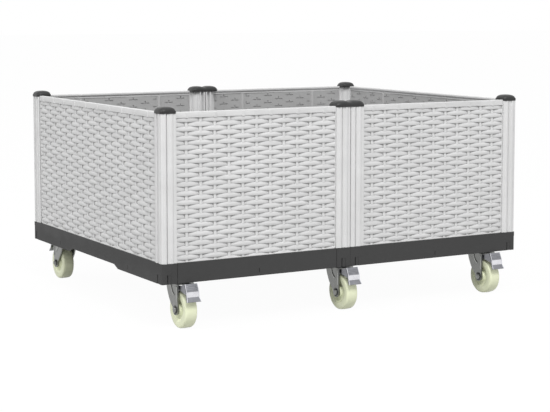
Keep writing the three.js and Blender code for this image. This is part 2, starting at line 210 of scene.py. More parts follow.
# the thin wall behind the weave, in painted shade: its inner side, and darker still its gaps and
# marks
inner_grey = moulded_plastic("inner_shade_grey_polypropylene", "#B0B0B0", "#BABABA",
                             cloud=40, grain=0.8, relief=0.3, dull=0.8, shiny=0.65, IOR=1.49)
gap_grey = moulded_plastic("gap_shade_grey_polypropylene", "#ABABAB", "#B5B5B5",
                           cloud=12, grain=0.6, relief=0.3, dull=0.9, shiny=0.8, IOR=1.49)
print("made", satin_grey.name, grained_black.name, satin_black.name, cream_nylon.name,
      inner_grey.name, gap_grey.name)

# %% [markdown]
# ## Zinc-plated pressed steel
# Castor parts are stamped from sheet and then bright zinc plated. Plating gives a cool, slightly
# patchy mirror: the patches differ in roughness more than in colour, and fine rolling lines stay
# under the plating. Lighter copies of the zinc are painted highlights on the raised ribs and on the
# middle of each pedal and its beads, the rest of the pedal is a darker copy as painted shade, and the
# race is painted near black as the shade under the tray. A metal keeps the default IOR, since its
# colour does the work.

# %% Zinc plating, painted highlights and painted shade
PATCH = 9                        # size of a patch in millimetres
ROLLING_LINES = (1400, 1400, 90)  # per metre: lines 11 mm long and 0.7 mm apart


def plated_steel(name, dark, light, shiny, dull):
    material, tree, shader = new_material(name, Metallic=1.0)
    place = add_node(tree, "ShaderNodeTexCoord").outputs["Object"]
    patches = add_node(tree, "ShaderNodeTexNoise",
                       {"Vector": place, "Scale": 1 / (PATCH * MM), "Detail": 4.0, "Roughness": 0.6})
    rolled_at = add_node(tree, "ShaderNodeVectorMath", {0: place, 1: ROLLING_LINES},
                         operation="MULTIPLY")
    rolled = add_node(tree, "ShaderNodeTexNoise", {"Vector": rolled_at.outputs[0], "Scale": 1.0})
    level = add_node(tree, "ShaderNodeMapRange",
                     {"Value": patches.outputs[0], "From Min": 0.3, "From Max": 0.7})
    ramp = add_node(tree, "ShaderNodeValToRGB", {0: level.outputs[0]})
    ramp.color_ramp.elements[0].color = linear(dark)
    ramp.color_ramp.elements[1].color = linear(light)
    gloss = add_node(tree, "ShaderNodeMapRange",
                     {"Value": patches.outputs[0], "From Min": 0.3, "From Max": 0.7,
                      "To Min": shiny, "To Max": dull})
    bump = add_node(tree, "ShaderNodeBump",
                    {"Height": rolled.outputs[0], "Strength": 0.12, "Distance": 0.0002})
    link_surface(tree, shader, ramp, gloss, bump)
    return material


zinc = plated_steel("zinc_plated_steel", "#7D7E7C", "#8F908E", shiny=0.24, dull=0.4)
# a lighter zinc, a painted highlight on the fork's ribs
rib_highlight_zinc = plated_steel("rib_highlight_zinc_plated_steel", "#9B9C99", "#ACADAB", shiny=0.26, dull=0.4)
# a near-white zinc, a painted highlight on the pedal's band and beads
pedal_highlight_zinc = plated_steel("pedal_highlight_zinc_plated_steel", "#DADADF", "#EAEAEE", shiny=0.22, dull=0.36)
# the race painted near black, as painted shade under the tray
race_shade_steel = plated_steel("shade_dark_race_steel", "#2E2E30", "#47474A", shiny=0.35, dull=0.5)
# the rest of the pedal, darker than the band as painted shade
pedal_zinc = plated_steel("shaded_pedal_zinc_plated_steel", "#84858A", "#95969B", shiny=0.26, dull=0.42)
print("made", zinc.name, rib_highlight_zinc.name, pedal_zinc.name, pedal_highlight_zinc.name, race_shade_steel.name)

# %% [markdown]
# ## From a bmesh to a finished piece
# Every piece goes through the same last steps: its normals are made to point outwards, its mesh is
# carried to its place, and its edges are marked sharp or smooth by their angle, as Shade Auto
# Smooth would. The object itself stays at the origin.

# %% Finishing a piece
def new_object(name, bm, materials=()):
    mesh = bpy.data.meshes.new(name)
    bm.to_mesh(mesh)
    bm.free()
    for material in materials:
        mesh.materials.append(material)
    thing = bpy.data.objects.new(name, mesh)
    bpy.context.scene.collection.objects.link(thing)
    return thing


def finished(name, bm, materials, body, node, place=Matrix(), sharp=32, outwards=True):
    if outwards:
        bmesh.ops.recalc_face_normals(bm, faces=bm.faces)
    bmesh.ops.transform(bm, matrix=Matrix.Scale(MM, 4) @ place, verts=bm.verts)
    limit = math.radians(sharp)
    for face in bm.faces:
        face.smooth = True
    for edge in bm.edges:
        edge.smooth = len(edge.link_faces) == 2 and edge.calc_face_angle(0) < limit
    piece = new_object(name, bm, materials)
    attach(piece, body)
    if node:
        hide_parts(node)
    return piece


# %% [markdown]
# A few more helpers save typing: some bring one shape into another, some push a face out, and the
# last ones make rounded blocks, cylinders and turned shapes from Blender's own operators.

# %% Bringing shapes together
def copied(bm, source, place):
    """adds a moved copy of another bmesh's shape"""
    mesh = bpy.data.meshes.new("copied")
    source.to_mesh(mesh)
    mesh.transform(place)
    bm.from_mesh(mesh)
    bpy.data.meshes.remove(mesh)


def joined(bm, part, place=Matrix()):
    """adds another bmesh's shape, which isn't needed by itself any more"""
    copied(bm, part, place)
    part.free()


def painted(bm, index):
    """gives every face the material with this number"""
    for face in bm.faces:
        face.material_index = index


def verts_in(geom):
    return [v for v in geom if isinstance(v, bmesh.types.BMVert)]


def edges_at(verts):
    """the edges that meet these vertices, each once"""
    return list(dict.fromkeys(e for v in verts for e in v.link_edges))


def directions(points):
    """a line's unit direction at each of its points"""
    pairs = zip([points[0], *points], [*points[1:], points[-1]])
    return [(ahead - behind).normalized() for behind, ahead in pairs]


# %% Outlines, blocks and turned shapes
def outline_face(bm, points, lift):
    """one face from a few corner points, which lift turns into 3-D"""
    return bm.faces.new([bm.verts.new(lift(a, b)) for a, b in points])


def extruded(bm, face, along):
    """pushes a face out into a closed prism"""
    grown = bmesh.ops.extrude_face_region(bm, geom=[face], use_keep_orig=True)
    moved = verts_in(grown["geom"])
    bmesh.ops.translate(bm, vec=along, verts=moved)
    return moved


def beveled(bm, edges, width, segments=3):
    bmesh.ops.bevel(bm, geom=edges, offset=width, offset_type="OFFSET", segments=segments,
                    profile=0.5, affect="EDGES", material=-1, clamp_overlap=True)


def box(bm, x, y, z, edge=0.0, segments=2):
    """a block between two corners, its edges rounded"""
    made = bmesh.ops.create_cube(bm, size=1)["verts"]
    low, high = Vector((x[0], y[0], z[0])), Vector((x[1], y[1], z[1]))
    bmesh.ops.scale(bm, vec=high - low, verts=made)
    bmesh.ops.translate(bm, vec=(low + high) / 2, verts=made)
    if edge:
        beveled(bm, edges_at(made), edge, segments)


def cylinder(bm, radius, low, high, sides, place=Matrix(), top=None):
    made = bmesh.ops.create_cone(bm, cap_ends=True, segments=sides, radius1=radius,
                                 radius2=radius if top is None else top, depth=high - low,
                                 matrix=place @ Matrix.Translation((0, 0, (low + high) / 2)))
    return made["verts"]


def turned(bm, profile, sides, place=Matrix()):
    """spins a profile of (radius, height) points round the Z axis"""
    verts = [bm.verts.new((radius, 0, height)) for radius, height in profile]
    edges = [bm.edges.new(pair) for pair in zip(verts, verts[1:])]
    before = set(bm.verts) - set(verts)
    bmesh.ops.spin(bm, geom=verts + edges, cent=(0, 0, 0), axis=(0, 0, 1), dvec=(0, 0, 0),
                   angle=2 * math.pi, steps=sides, use_merge=True)
    made = [v for v in bm.verts if v not in before]
    bmesh.ops.remove_doubles(bm, verts=made, dist=0.001)
    made = [v for v in bm.verts if v not in before]
    bmesh.ops.transform(bm, matrix=place, verts=made)


trial = bmesh.new()
box(trial, (0, 20), (0, 30), (0, 40), edge=2)
print("a block with rounded edges has", len(trial.faces), "faces")
trial.free()

# %% [markdown]
# ## Corner posts
# A post is an extruded-looking moulding: each outer face has two raised bands beside a sunk middle
# one and a narrow dark slit at one border of it. Two slots take the panels, a flange hides the
# panel's edge, and the back is rounded. So the plan is drawn once as a polygon, raised to the
# post's height, and its long edges are rounded: 10 mm at the back, 3 mm on the outer corner of a
# single post and 0.3 mm elsewhere. Where two posts meet, their corners are nearly sharp.

# %% Corner posts
BAND_STEP = 0.7              # the flange and the corner lie this far behind the raised bands
SLIT = 4.6                   # depth of the narrow slit beside the sunk band
CORNER_ROUNDING = {"corner": 3, "middle": 0.25}
EDGE_ROUNDING = 0.3
BACK_CORNER = 26
BACK_ROUNDING = 10


def post_plan():
    slot_side = [(POST_SIZE, 1.2), (POST_SIZE, 4), (23, 4), (23, 11), (POST_SIZE, 11),
                 (POST_SIZE, 13.5), (BACK_CORNER, 13.5)]
    near_slit = [(6.3, BAND_STEP), (6.3, 0), (10.3, 0), (10.3, SLIT), (12.2, SLIT), (12.2, 0.6),
                 (18.8, 0.6), (18.8, 0), (23.5, 0), (23.5, 2.2), (24.3, 2.2), (24.3, 1.2)]
    far_slit = [(5.8, BAND_STEP), (5.8, 1.8), (6.6, 1.8), (6.6, 0), (11.3, 0), (11.3, 1.2),
                (17.9, 1.2), (17.9, SLIT), (19.8, SLIT), (19.8, 0), (24.4, 0), (24.4, 1.2)]
    turned_over = [(y, x) for x, y in reversed(far_slit + slot_side)]
    return [(BAND_STEP, BAND_STEP), *near_slit, *slot_side, (BACK_CORNER, BACK_CORNER),
            *turned_over]


def corner_post(corner_rounding):
    bm = bmesh.new()
    face = outline_face(bm, post_plan(), lambda a, b: (a, b, FOOT))
    extruded(bm, face, (0, 0, POST_TOP - FOOT))

    def upright_edges(diagonal=None):
        """the long edges, all of them or those above one point of the diagonal"""
        found = [e for e in bm.edges if e.calc_length() > POST_TOP / 2]
        if diagonal is None:
            return found
        corner = Vector((diagonal, diagonal))
        return [e for e in found if (e.verts[0].co.xy - corner).length < 0.01]

    rounded_later = upright_edges(BAND_STEP) + upright_edges(BACK_CORNER)
    beveled(bm, [e for e in upright_edges() if e not in rounded_later], EDGE_ROUNDING, 2)
    beveled(bm, upright_edges(BAND_STEP), corner_rounding, 5)
    beveled(bm, upright_edges(BACK_CORNER), BACK_ROUNDING, 8)
    return bm


corner_places = {(-1, -1): 0, (1, -1): 90, (1, 1): 180, (-1, 1): 270}
for side, module in modules.items():
    for (sx, sy), degrees in corner_places.items():
        row = row_names[side][0 if sy < 0 else 1]
        spot = "corner" if sx < 0 else "middle"
        node = f"{row}_{side}_{spot}_post"
        place = module @ Matrix.Translation((sx * HALF_WIDTH, sy * HALF_DEPTH, 0)) @ turn(degrees)
        finished(f"{node}_moulding", corner_post(CORNER_ROUNDING[spot]), (satin_grey,),
                 "planter", node, place)
print("made 8 posts,", TRAY_TOP, "to", POST_TOP, "mm")

# %% [markdown]
# ## Caps
# Each cap is a shallow pillow with an upright edge, and the caps over the paired posts are two
# such pillows run together with a dip between them. Seen from above a pillow is a squircle, between
# a circle and a square. A fine square grid is pressed into that outline, each vertex is lifted to
# the pillow's height, and the border is then drawn down to the post to close the shape.

# %% Caps
CAP_BOTTOM = 394
CAP_EDGE = 4.6
CAP_RISE = 7.4
CAP_INSET = 15.5             # from the planter's faces to a cap's middle
LOBE = 16.1                  # half the width of one lobe
LOBE_MIDDLE = 15.6           # of the two lobes over paired posts
SQUIRCLE = 6.5               # 2 would be a circle, and a large number a square
RIDGE = 0.76                 # height between two lobes, as a share of a lobe's
GRID = 22                    # cells across a lobe


def squircle_reach(x, y, power=SQUIRCLE):
    """0 in the middle of a lobe and 1 on its outline"""
    return (abs(x) ** power + abs(y) ** power) ** (1 / power)


def dome(reach):
    return CAP_RISE * max(0.0, 1 - min(reach, 1) ** 2.6) ** 0.5


def cap(lobes):
    """lobes are the X places of the pillows' middles"""
    bm = bmesh.new()
    stretch = lobes[-1]
    bmesh.ops.create_grid(bm, x_segments=GRID * len(lobes), y_segments=GRID, size=1)
    for vert in bm.verts:
        # lines gather towards the border, where the pillow is steep
        v = math.sin(vert.co.y * math.pi / 2)
        if len(lobes) == 1:
            u = math.sin(vert.co.x * math.pi / 2)
        else:
            u = vert.co.x * (stretch / LOBE + 1)
        inner = max(-stretch / LOBE, min(stretch / LOBE, u))
        beyond = u - inner
        press = max(abs(beyond), abs(v)) / max(squircle_reach(beyond, v), 1e-9) if beyond else 1
        x, y = (inner + beyond * press) * LOBE, v * press * LOBE
        heights = [dome(squircle_reach((x - middle) / LOBE, y / LOBE, 4)) for middle in lobes]
        if len(lobes) == 2 and abs(x) < stretch:
            heights.append(RIDGE * dome(abs(y / LOBE)))
        # this root of powers is the greatest height, with the valleys between them filled a little
        height = sum(h ** 8 for h in heights) ** (1 / 8)
        vert.co = (x, y, CAP_BOTTOM + CAP_EDGE + min(height, CAP_RISE))
    rim = [e for e in bm.edges if e.is_boundary]
    drawn = bmesh.ops.extrude_edge_only(bm, edges=rim)["geom"]
    for vert in verts_in(drawn):
        vert.co.z = CAP_BOTTOM
    bmesh.ops.holes_fill(bm, edges=[e for e in bm.edges if e.is_boundary])
    return bm


for side, module in modules.items():
    for sy in (-1, 1):
        row = row_names[side][0 if sy < 0 else 1]
        corner = (-HALF_WIDTH + CAP_INSET, sy * (HALF_DEPTH - CAP_INSET), 0)
        finished(f"{row}_{side}_cap_pillow", cap([0]), (satin_black,),
                 "planter", f"{row}_{side}_cap", module @ Matrix.Translation(corner), sharp=50)
for row, sy in (("front", -1), ("back", 1)):
    place = Matrix.Translation((0, sy * (HALF_DEPTH - CAP_INSET), 0))
    finished(f"{row}_middle_cap_pillows", cap([-LOBE_MIDDLE, LOBE_MIDDLE]), (satin_black,),
             "planter", f"{row}_middle_cap", place, sharp=50)
print("made 6 caps, top at", CAP_BOTTOM + CAP_EDGE + CAP_RISE, "mm")

# %% [markdown]
# ## One strand of the weave
# Each woven row passes over every second stake, bulging out in front of it and diving behind the
# next, which makes a long lens. A strand is a six-sided bar whose back is buried in the wall. Its
# lower edge stands proud, its upper edge falls away near the ends, and it stops just short of the
# stake. That leaves the small dark T that shows at each crossing. It has a few dozen faces, because
# a panel shows hundreds of them.

# %% A strand and the stake beside it
FACE = 4.3                   # outermost plane of a panel, behind the post's face
WALL = 8.0                   # outer plane of the thin wall that carries the relief
BACK = 10.7                  # its inner plane


def strand(pitch):
    bm = bmesh.new()
    lying = Matrix.Rotation(math.pi / 2, 4, "Y") @ Matrix.Rotation(math.pi / 6, 4, "Z")
    bmesh.ops.create_cone(bm, cap_ends=True, segments=6, radius1=1, radius2=1, depth=2,
                          matrix=lying)
    long_edges = [e for e in bm.edges if abs(e.verts[0].co.x - e.verts[1].co.x) > 1]
    bmesh.ops.subdivide_edges(bm, edges=long_edges, cuts=9, use_grid_fill=True)
    for vert in bm.verts:
        along, depth, level = vert.co
        share = math.sin(along * math.pi / 2)           # -1 and 1 at the ends
        dive = max(0.0, (abs(share) - 0.55) / 0.45)     # 0 up to near the ends, where it grows to 1
        top = 4.2 - 2.3 * dive ** 0.5
        bottom = -4.35 + 0.5 * share ** 2
        height = (top + bottom) / 2 + level * (top - bottom) / 2
        front = FACE + 0.25 + 0.7 * share ** 2 + 2.4 * dive ** 1.4 + 0.55 * (level + 1)
        y = WALL + 0.4 if depth > 0.5 else front + (0 if depth < -0.5 else 0.9)
        vert.co = (share * (pitch - 3.2), min(y, WALL + 0.4), height)
    return bm


def bare_stake():
    """the short length of a stake that shows between two strands"""
    bm = bmesh.new()
    made = bmesh.ops.create_cube(bm, size=1)["verts"]
    for vert in made:
        x, y, z = vert.co
        front = FACE + 1.9 + 1.5 * z
        vert.co = (x * 5.6, WALL + 0.3 if y > 0 else front, z * 10.4)
    beveled(bm, [e for e in bm.edges if all(v.co.y < WALL for v in e.verts)
                 and abs(e.verts[0].co.z - e.verts[1].co.z) > 5], 0.9, 2)
    return bm


trial = strand(29)
print("a strand has", len(trial.faces), "faces")
trial.free()

# %% [markdown]
# ## The woven panels
# A panel is one moulding: a thin wall, the strands and bare lengths of stake on its outer side, and
# a plain rim with a lip along the top. The strand is copied to every crossing, the next row shifted
# by one stake, and the two ends are cut off flat where the posts' flanges hide them. The inner side
# carries rows of small upside-down T marks, sunk into the wall, and two shallow ribs. The marks come
# from a grid whose lines lie on their edges: those cells are extruded inwards.

# %% The inner wall with its marks
MARK_DEPTH = 1.9
BAR_HALF = 10                # half the length of a mark's bar
BAR_HEIGHT = 2
TICK_HALF = 1.2
TICK_HEIGHT = 6              # the tick's top above the bar's lower edge
INNER, GAP = 1, 2            # material indices of painted shade: the wall's inner side, and its darker gaps and marks


def inner_wall(bm, clear, stakes, rib_at):
    low, high = FOOT, RIM_TOP - 9.6
    offsets = (-BAR_HALF, -TICK_HALF, TICK_HALF, BAR_HALF)
    columns = sorted({-clear, clear, *(x + d for x in stakes for d in offsets
                                       if abs(x + d) < clear - 0.5)})
    rows = [high - 8 - ROW_PITCH * k for k in range(int((high - low - 14) / ROW_PITCH) + 1)]
    levels = sorted({low, high, *(r + d for r in rows for d in (0, BAR_HEIGHT, TICK_HEIGHT))})
    bmesh.ops.create_grid(bm, x_segments=len(columns) - 1, y_segments=len(levels) - 1, size=1)
    for vert in bm.verts:
        i = round((vert.co.x + 1) / 2 * (len(columns) - 1))
        k = round((vert.co.y + 1) / 2 * (len(levels) - 1))
        vert.co = (columns[i], BACK, levels[k])
    marks = []
    # the inner side is painted a darker grey, as painted shade inside the box
    painted(bm, INNER)
    for face in bm.faces:
        x, _, z = face.calc_center_median()
        stake = min(range(len(stakes)), key=lambda i: abs(stakes[i] - x))
        row = min(range(len(rows)), key=lambda k: abs(rows[k] + TICK_HEIGHT / 2 - z))
        across, up = abs(x - stakes[stake]), z - rows[row]
        in_bar = 0 < up < BAR_HEIGHT and across < BAR_HALF
        in_tick = 0 < up < TICK_HEIGHT and across < TICK_HALF
        if (stake + row) % 2 == 0 and abs(abs(x) - rib_at) > 6 and (in_bar or in_tick):
            marks.append(face)
            # a mark is painted darker still, as painted shade in its recess
            face.material_index = GAP
    sunk = bmesh.ops.extrude_face_region(bm, geom=marks)["geom"]
    bmesh.ops.translate(bm, vec=(0, -MARK_DEPTH, 0), verts=verts_in(sunk))
    bmesh.ops.delete(bm, geom=[f for f in marks if f.is_valid], context="FACES")


def wall(clear, stakes, rib_at):
    """the marked inner side, closed by a flat outer side behind the strands"""
    bm = bmesh.new()
    inner_wall(bm, clear, stakes, rib_at)
    border = [e for e in bm.edges if e.is_boundary]
    drawn = bmesh.ops.extrude_edge_only(bm, edges=border)["geom"]
    bmesh.ops.translate(bm, vec=(0, WALL - BACK, 0), verts=verts_in(drawn))
    outer = bmesh.ops.holes_fill(bm, edges=[e for e in bm.edges if e.is_boundary])["faces"]
    # the outer side, seen between the strands, is painted dark as shade in the gaps
    for face in outer:
        face.material_index = GAP
    bmesh.ops.recalc_face_normals(bm, faces=bm.faces)
    return bm


print("marks", 2 * BAR_HALF, "by", TICK_HEIGHT, "mm,", MARK_DEPTH, "mm deep")

# %% [markdown]
# The weave is cut by three planes, one at each end and one at the foot, and each cut is closed. Past
# it a panel has a tongue at each end, which sits in the post's slot, and a foot in the tray's
# channel.

# %% Weave and rim
ROWS = 33
WEAVE_TOP = RIM_TOP - 9.9
RIM_FOOT = RIM_TOP - 10.5
LIP = 13.9                   # inner plane of the lip along the top


def weave(clear, first, pitch, count):
    bm = bmesh.new()
    over, bare = strand(pitch), bare_stake()
    for row in range(ROWS):
        level = WEAVE_TOP - ROW_PITCH * (row + 0.5)
        for i in range(-1, count + 1):
            place = Matrix.Translation((first + pitch * i, 0, level))
            copied(bm, over if (i + row) % 2 == 0 else bare, place)
    over.free()
    bare.free()
    for at, outwards in (((-clear, 0, 0), (-1, 0, 0)), ((clear, 0, 0), (1, 0, 0)),
                         ((0, 0, FOOT), (0, 0, -1))):
        bmesh.ops.bisect_plane(bm, geom=[*bm.verts, *bm.edges, *bm.faces], plane_co=at,
                               plane_no=outwards, clear_outer=True)
        bmesh.ops.holes_fill(bm, edges=[e for e in bm.edges if e.is_boundary])
    bmesh.ops.recalc_face_normals(bm, faces=bm.faces)
    return bm


def rim(clear):
    bm = bmesh.new()
    profile = [(FACE, RIM_FOOT), (BACK, RIM_FOOT), (BACK, RIM_TOP - 6.5), (LIP, RIM_TOP - 4),
               (LIP, RIM_TOP), (FACE, RIM_TOP)]
    extruded(bm, outline_face(bm, profile, lambda a, b: (-clear, a, b)), (2 * clear, 0, 0))
    long_edges = [e for e in bm.edges if abs(e.verts[0].co.x - e.verts[1].co.x) > 1]
    beveled(bm, [e for e in long_edges if e.verts[0].co.z > RIM_TOP - 5], 1.1, 3)
    bmesh.ops.recalc_face_normals(bm, faces=bm.faces)
    return bm


print(ROWS, "woven rows below a rim", RIM_TOP - RIM_FOOT, "mm high")

# %% Panels
TONGUE_END = 23.3            # both from the end of the module's face
FOOT_END = 33.5
TONGUE_TOP = 393.4
RIB_SHARE = 0.235            # the ribs' distance from the middle, as a share of the length


def panel(length, first, pitch, count):
    half = length / 2
    clear = half - POST_SIZE - 0.3
    stakes = [-half + first + pitch * i for i in range(count)]
    rib_at = RIB_SHARE * length
    bm = weave(clear, -half + first, pitch, count)
    joined(bm, wall(clear, stakes, rib_at))
    joined(bm, rim(clear))
    # every second stake ends on the rim
    for x in stakes[::2]:
        if abs(x) < clear - 4:
            box(bm, (x - 2.6, x + 2.6), (FACE - 0.9, FACE + 2), (RIM_FOOT - 1, RIM_TOP - 1.6),
                0.3, 1)
    for sign in (-1, 1):
        tongue = sorted((sign * (clear - 1), sign * (half - TONGUE_END)))
        box(bm, tongue, (FACE + 0.6, BACK - 0.3), (FOOT, TONGUE_TOP), 0.4, 1)
        rib = bmesh.new()
        box(rib, (sign * rib_at - 3, sign * rib_at + 3), (BACK - 1.5, BACK + 1.3),
            (TRAY_TOP + 1, RIM_FOOT + 0.5), 0.7, 2)
        # the rib takes the inner side's painted shade
        painted(rib, INNER)
        joined(bm, rib)
    foot = half - FOOT_END
    box(bm, (-foot, foot), (FACE + 0.2, BACK), (TRAY_TOP - 5.7, TRAY_TOP + 1.2), 0.4, 1)
    return bm


front_stakes = {"length": 2 * HALF_WIDTH, "first": 53.05, "pitch": 28.97, "count": 12}
side_stakes = {"length": 2 * HALF_DEPTH, "first": 50.8, "pitch": 28.74, "count": 20}
for side, module in modules.items():
    first_row, second_row = row_names[side]
    for name, layout, place in (
        (f"{first_row}_{side}_panel", front_stakes, Matrix.Translation((0, -HALF_DEPTH, 0))),
        (f"{second_row}_{side}_panel", front_stakes,
         Matrix.Translation((0, HALF_DEPTH, 0)) @ turn(180)),
        (f"{side}_side_panel", side_stakes, Matrix.Translation((-HALF_WIDTH, 0, 0)) @ turn(-90)),
    ):
        piece = finished(f"{name}_weave", panel(**layout), (woven, inner_grey, gap_grey),
                         "planter", name, module @ place, outwards=False)
        print("made", piece.name, len(piece.data.polygons), "faces")

# %% [markdown]
# ## Base trays
# The trays' solids already have every wall, rib, notch and slit, but a moulding has no knife
# edges. So each tray is a copy of its solid, merged from loose triangles, with its flat areas
# joined and its edges rounded by half a millimetre. Narrow slits, cut with a Boolean, carry the
# posts' dark lines down over the skirt.

# %% Combining solids
def solid_object(bm, name):
    bmesh.ops.recalc_face_normals(bm, faces=bm.faces)
    return new_object(name, bm)


def combined(base, *steps):
    """runs Boolean steps on a base object and returns the result as a bmesh"""
    for operation, tool in steps:
        work = base.modifiers.new("work", "BOOLEAN")
        work.operation = operation
        work.object = tool
        work.solver = "EXACT"
    bpy.context.view_layer.update()
    solved = base.evaluated_get(bpy.context.evaluated_depsgraph_get())
    bm = bmesh.new()
    bm.from_mesh(solved.to_mesh())
    solved.to_mesh_clear()
    for thing in (base, *(tool for _, tool in steps)):
        bpy.data.objects.remove(thing)
    bmesh.ops.remove_doubles(bm, verts=bm.verts, dist=0.001)
    return bm


# %% Base trays
NOTCH = (10, 18.9), (0.4, 2.6), (87.4, 104.3)
NEAR_SLIT = (10.2, 12.4), (-1, 2.8), (80, 104)   # each in line with a slit of the post above
FAR_SLIT = (-1, 2.8), (17.8, 20), (80, 104)


def at_corners(side, blocks):
    """upright blocks near each corner of a tray, given as x, y and z ranges from the corner"""
    bm = bmesh.new()
    for (sx, sy), degrees in corner_places.items():
        corner = bmesh.new()
        for block in blocks:
            box(corner, *block)
        place = Matrix.Translation((sx * HALF_WIDTH, sy * HALF_DEPTH, 0)) @ turn(degrees)
        joined(bm, corner, modules[side] @ place)
    return bm


for side in modules:
    node = f"{side}_base_tray"
    bm = bmesh.new()
    bm.from_mesh(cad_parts[node].data)
    bmesh.ops.remove_doubles(bm, verts=bm.verts, dist=1e-6)
    bmesh.ops.dissolve_limit(bm, angle_limit=math.radians(1), verts=bm.verts, edges=bm.edges)
    bmesh.ops.transform(bm, matrix=Matrix.Scale(1 / MM, 4), verts=bm.verts)
    # the solid's wide notches are filled, and narrow slits are cut instead
    fill = at_corners(side, [NOTCH, (NOTCH[1], NOTCH[0], NOTCH[2])])
    slits = at_corners(side, [NEAR_SLIT, FAR_SLIT])
    bm = combined(solid_object(bm, "tray"), ("UNION", solid_object(fill, "fill")),
                  ("DIFFERENCE", solid_object(slits, "slits")))
    tray = finished(f"{node}_moulding", bm, (grained_black,), "planter",
                    node, outwards=False)
    soften = tray.modifiers.new("soft edges", "BEVEL")
    soften.width = 0.5 * MM
    soften.segments = 2
    soften.limit_method = "ANGLE"
    soften.angle_limit = math.radians(35)
    soften.harden_normals = False
print("made 2 trays")

# %% [markdown]
# ## Castors
# Six equal castors stand under the trays. Each is drawn once about its swivel axis with the wheel
# trailing towards -Y, and the copies are carried to their places; those at the back are turned
# half round. The fork, the wheel and the pedal ride on their own bodies, because they move.

# %% Castor sizes and places
TRAIL = 18.4
AXLE_HEIGHT = 34.569
AXIS_INSET = 43.6            # swivel axis behind the front or back face
FORK_INSIDE = 14.5
FORK_OUTSIDE = 17
DISH = 1.5                   # how far the legs are pressed inwards round the axle
SHEET = 2.5
CROWN_TOP = 84
CROWN_RADIUS = 24
BOSS_RADIUS = 9.5
PIN_HOLE = 6.6               # radii of the holes for the king pin and the axle bolt
BOLT_HOLE = 4.4
PLATE_BOTTOM = 95.5
castor_places = {}
for row, sy, degrees in (("front", -1, 0), ("back", 1, 180)):
    for spot, x in (("left", -345), ("middle", 0), ("right", 345)):
        place = Matrix.Translation((x, sy * (HALF_DEPTH - AXIS_INSET), 0)) @ turn(degrees)
        castor_places[f"{row}_{spot}"] = place
crosswise = Matrix.Rotation(math.pi / 2, 4, "Y")
on_axle = Matrix.Translation((0, -TRAIL, AXLE_HEIGHT)) @ crosswise
on_pivot = Matrix.Translation((0, -23, 76.5)) @ crosswise
print(len(castor_places), "castors, axles", AXLE_HEIGHT, "mm above the floor")

# %% [markdown]
# ### Fork
# The fork starts as a strip of 2.5 mm sheet bent into a U. Its side outline, narrow at the axle
# and wide at the crown, is cut from it with a Boolean, and the round crown is joined on. The press
# also left a dish round the axle, which the bolt's head sits in, and two raised stiffening ribs on
# each leg: one down the front edge and one that follows the rear edge.

# %% Fork
RIB_HIGHLIGHT = 1                     # material index of the ribs' painted highlight
FRONT_RIB = [(-26, 79), (-26, 50)]
REAR_RIB = [(-2.5, 79), (-4.2, 72), (-8.5, 66), (-14.5, 61)]


def bent_strip():
    bm = bmesh.new()
    section = [(-FORK_OUTSIDE, 20), (-FORK_OUTSIDE, CROWN_TOP), (FORK_OUTSIDE, CROWN_TOP),
               (FORK_OUTSIDE, 20), (FORK_INSIDE, 20), (FORK_INSIDE, CROWN_TOP - SHEET),
               (-FORK_INSIDE, CROWN_TOP - SHEET), (-FORK_INSIDE, 20)]
    extruded(bm, outline_face(bm, section, lambda a, b: (a, -30, b)), (0, 56, 0))
    outer_bends = [e for e in bm.edges if e.calc_length() > 50 and e.verts[0].co.z > CROWN_TOP - 0.1]
    beveled(bm, outer_bends, 3.2, 5)
    inner_bends = [e for e in bm.edges if e.calc_length() > 50
                   and abs(e.verts[0].co.z - (CROWN_TOP - SHEET)) < 0.01]
    beveled(bm, inner_bends, 1.2, 3)
    return bm


def leg_cutter():
    """the fork's outline seen from the side, as a block to intersect the strip with"""
    bm = bmesh.new()
    side = [(-28.4, 90), (-28.4, 24.6), (-8.4, 24.6), (-8.4, 37.5), (-1.5, 43.5), (7, 53.5),
            (14.5, 68), (19, 84), (19, 90)]
    extruded(bm, outline_face(bm, side, lambda a, b: (-20, a, b)), (40, 0, 0))
    long_edges = [e for e in bm.edges if e.calc_length() > 39]
    beveled(bm, [e for e in long_edges if e.verts[0].co.z < 25], 9.9, 8)
    long_edges = [e for e in bm.edges if abs(e.verts[0].co.x - e.verts[1].co.x) > 39]
    beveled(bm, [e for e in long_edges if 37 < e.verts[0].co.z < 72 and e.verts[0].co.y > -9], 4, 4)
    return bm


def pressed_rib(path, half_width, sign):
    """a raised bead that follows a line down the outside of a leg"""
    bm = bmesh.new()
    points = [Vector((0, y, z)) for y, z in path]
    sides = [Vector((0, -ahead.z, ahead.y)) * half_width for ahead in directions(points)]
    edge = list(zip(points, sides))
    ring = [p + s for p, s in edge] + [p - s for p, s in reversed(edge)]
    skin = sign * (FORK_OUTSIDE - 0.3)
    face = outline_face(bm, [(p.y, p.z) for p in ring], lambda a, b: (skin, a, b))
    top = extruded(bm, face, (sign * 1.5, 0, 0))
    # the rib is painted in the lighter zinc, a painted highlight
    painted(bm, RIB_HIGHLIGHT)
    beveled(bm, [e for e in edges_at(top) if all(v in top for v in e.verts)], 1.15, 4)
    bmesh.ops.recalc_face_normals(bm, faces=bm.faces)
    return bm


